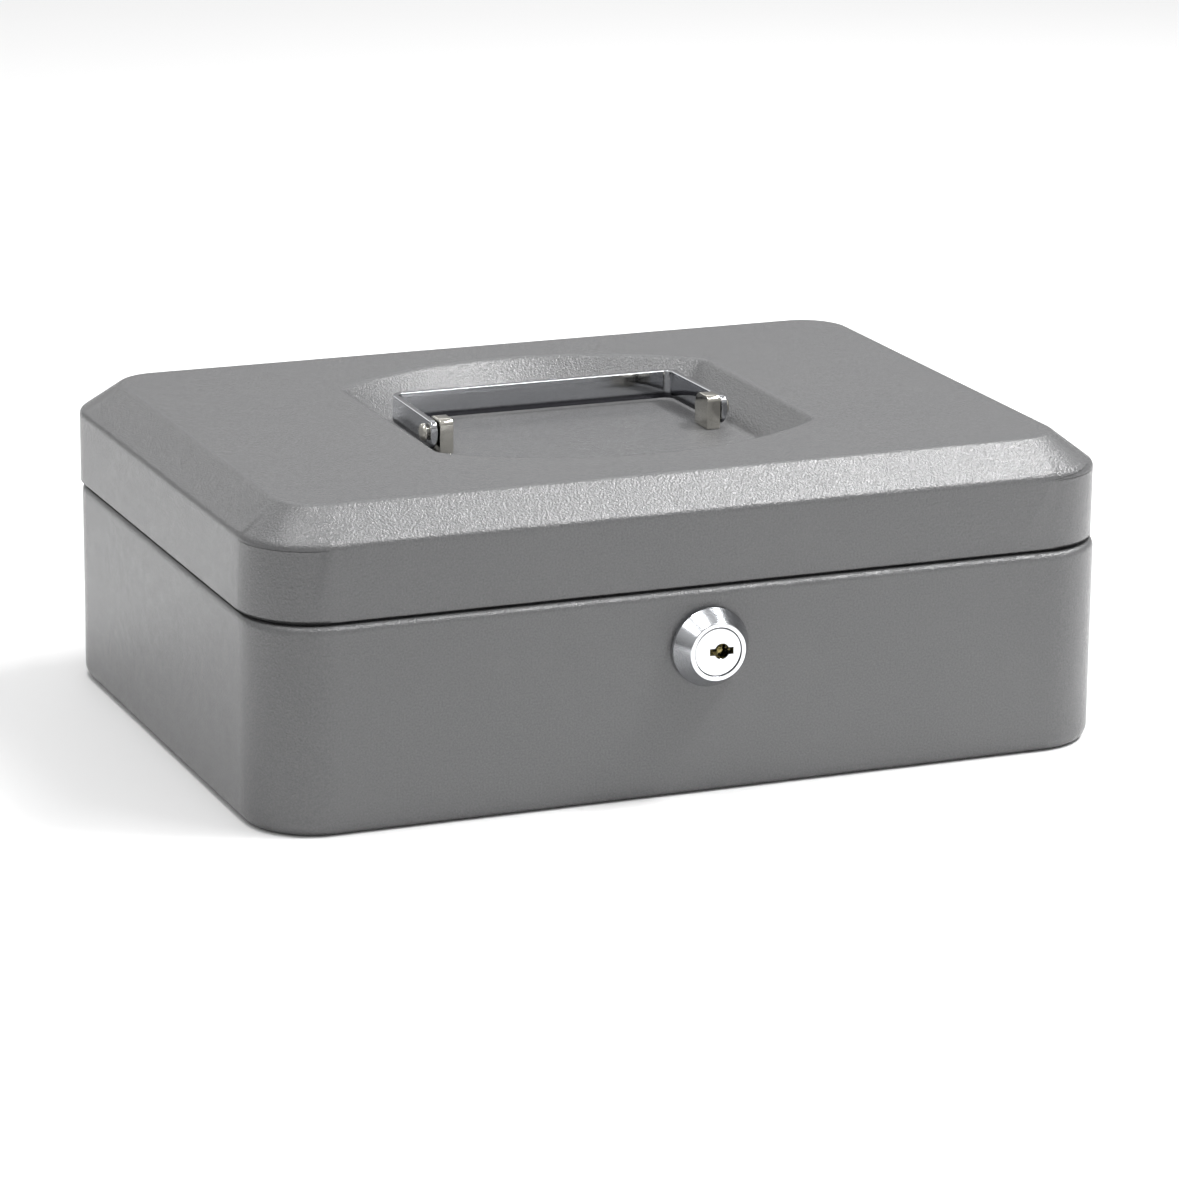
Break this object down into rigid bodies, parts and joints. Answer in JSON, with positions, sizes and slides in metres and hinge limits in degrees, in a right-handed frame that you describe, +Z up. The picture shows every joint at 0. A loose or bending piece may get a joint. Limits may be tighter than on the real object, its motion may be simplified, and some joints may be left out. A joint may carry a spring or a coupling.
{
  "type": "cash box",
  "caption": "Lockable pressed-steel cash and document box with a hinged lid, folding top handle, front cam lock and coin tray.",
  "frame": {"origin": "centre of the flat underside of the base pan", "axes": "+X to the right along the front, +Y from the lock to the hinges, +Z up through the lid"},
  "size_m": [0.25, 0.1935, 0.0875],
  "materials": {
    "grey_coating": "satin grey powder coating with a fine orange-peel texture",
    "chrome": "bright chrome plating",
    "nickel": "bright nickel plating, slightly warm",
    "zinc_steel": "zinc-plated steel",
    "brass": "plain brass",
    "tray_plastic": "black moulded plastic, fine matt grain"
  },
  "bodies": {
    "base": {"base_shell": "grey_coating", "lock_collar": "chrome", "lock_nut": "zinc_steel", "hinge_base_leaf_left": "grey_coating", "hinge_base_leaf_right": "grey_coating", "hinge_pin_left": "zinc_steel", "hinge_pin_right": "zinc_steel", "base_rivet_1": "zinc_steel", "base_rivet_2": "zinc_steel", "base_rivet_3": "zinc_steel", "base_rivet_4": "zinc_steel", "tray_rail_left": "zinc_steel", "tray_rail_right": "zinc_steel", "coin_tray": "tray_plastic"},
    "lid": {"lid_shell": "grey_coating", "lid_catch": "zinc_steel", "hinge_lid_leaf_left": "grey_coating", "hinge_lid_leaf_right": "grey_coating", "lid_rivet_1": "zinc_steel", "lid_rivet_2": "zinc_steel", "lid_rivet_3": "zinc_steel", "lid_rivet_4": "zinc_steel", "handle_lug_left": "nickel", "handle_lug_right": "nickel", "lug_backing_plate_left": "zinc_steel", "lug_backing_plate_right": "zinc_steel", "handle_pivot_pin_left": "nickel", "handle_pivot_pin_right": "nickel"},
    "handle": {"handle_bail": "chrome"},
    "lock": {"lock_plug": "chrome", "keyway_post": "brass", "lock_wafer_1": "brass", "lock_wafer_2": "brass", "lock_wafer_3": "brass", "lock_wafer_4": "brass", "lock_stop_washer": "zinc_steel", "lock_cam": "zinc_steel", "lock_cam_screw": "zinc_steel"}
  },
  "joints": [
    {"name": "lid_hinge", "type": "hinge", "parent": "base", "child": "lid", "pos_m": [0, 0.0943, 0.0579], "axis": [-1, 0, 0], "range_deg": [0, 100]},
    {"name": "handle_fold", "type": "hinge", "parent": "lid", "child": "handle", "pos_m": [0, 0.0036, 0.083], "axis": [1, 0, 0], "range_deg": [0, 90]},
    {"name": "lock_turn", "type": "hinge", "parent": "base", "child": "lock", "pos_m": [0.001, -0.09, 0.0418], "axis": [0, 1, 0], "range_deg": [0, 90]}
  ]
}
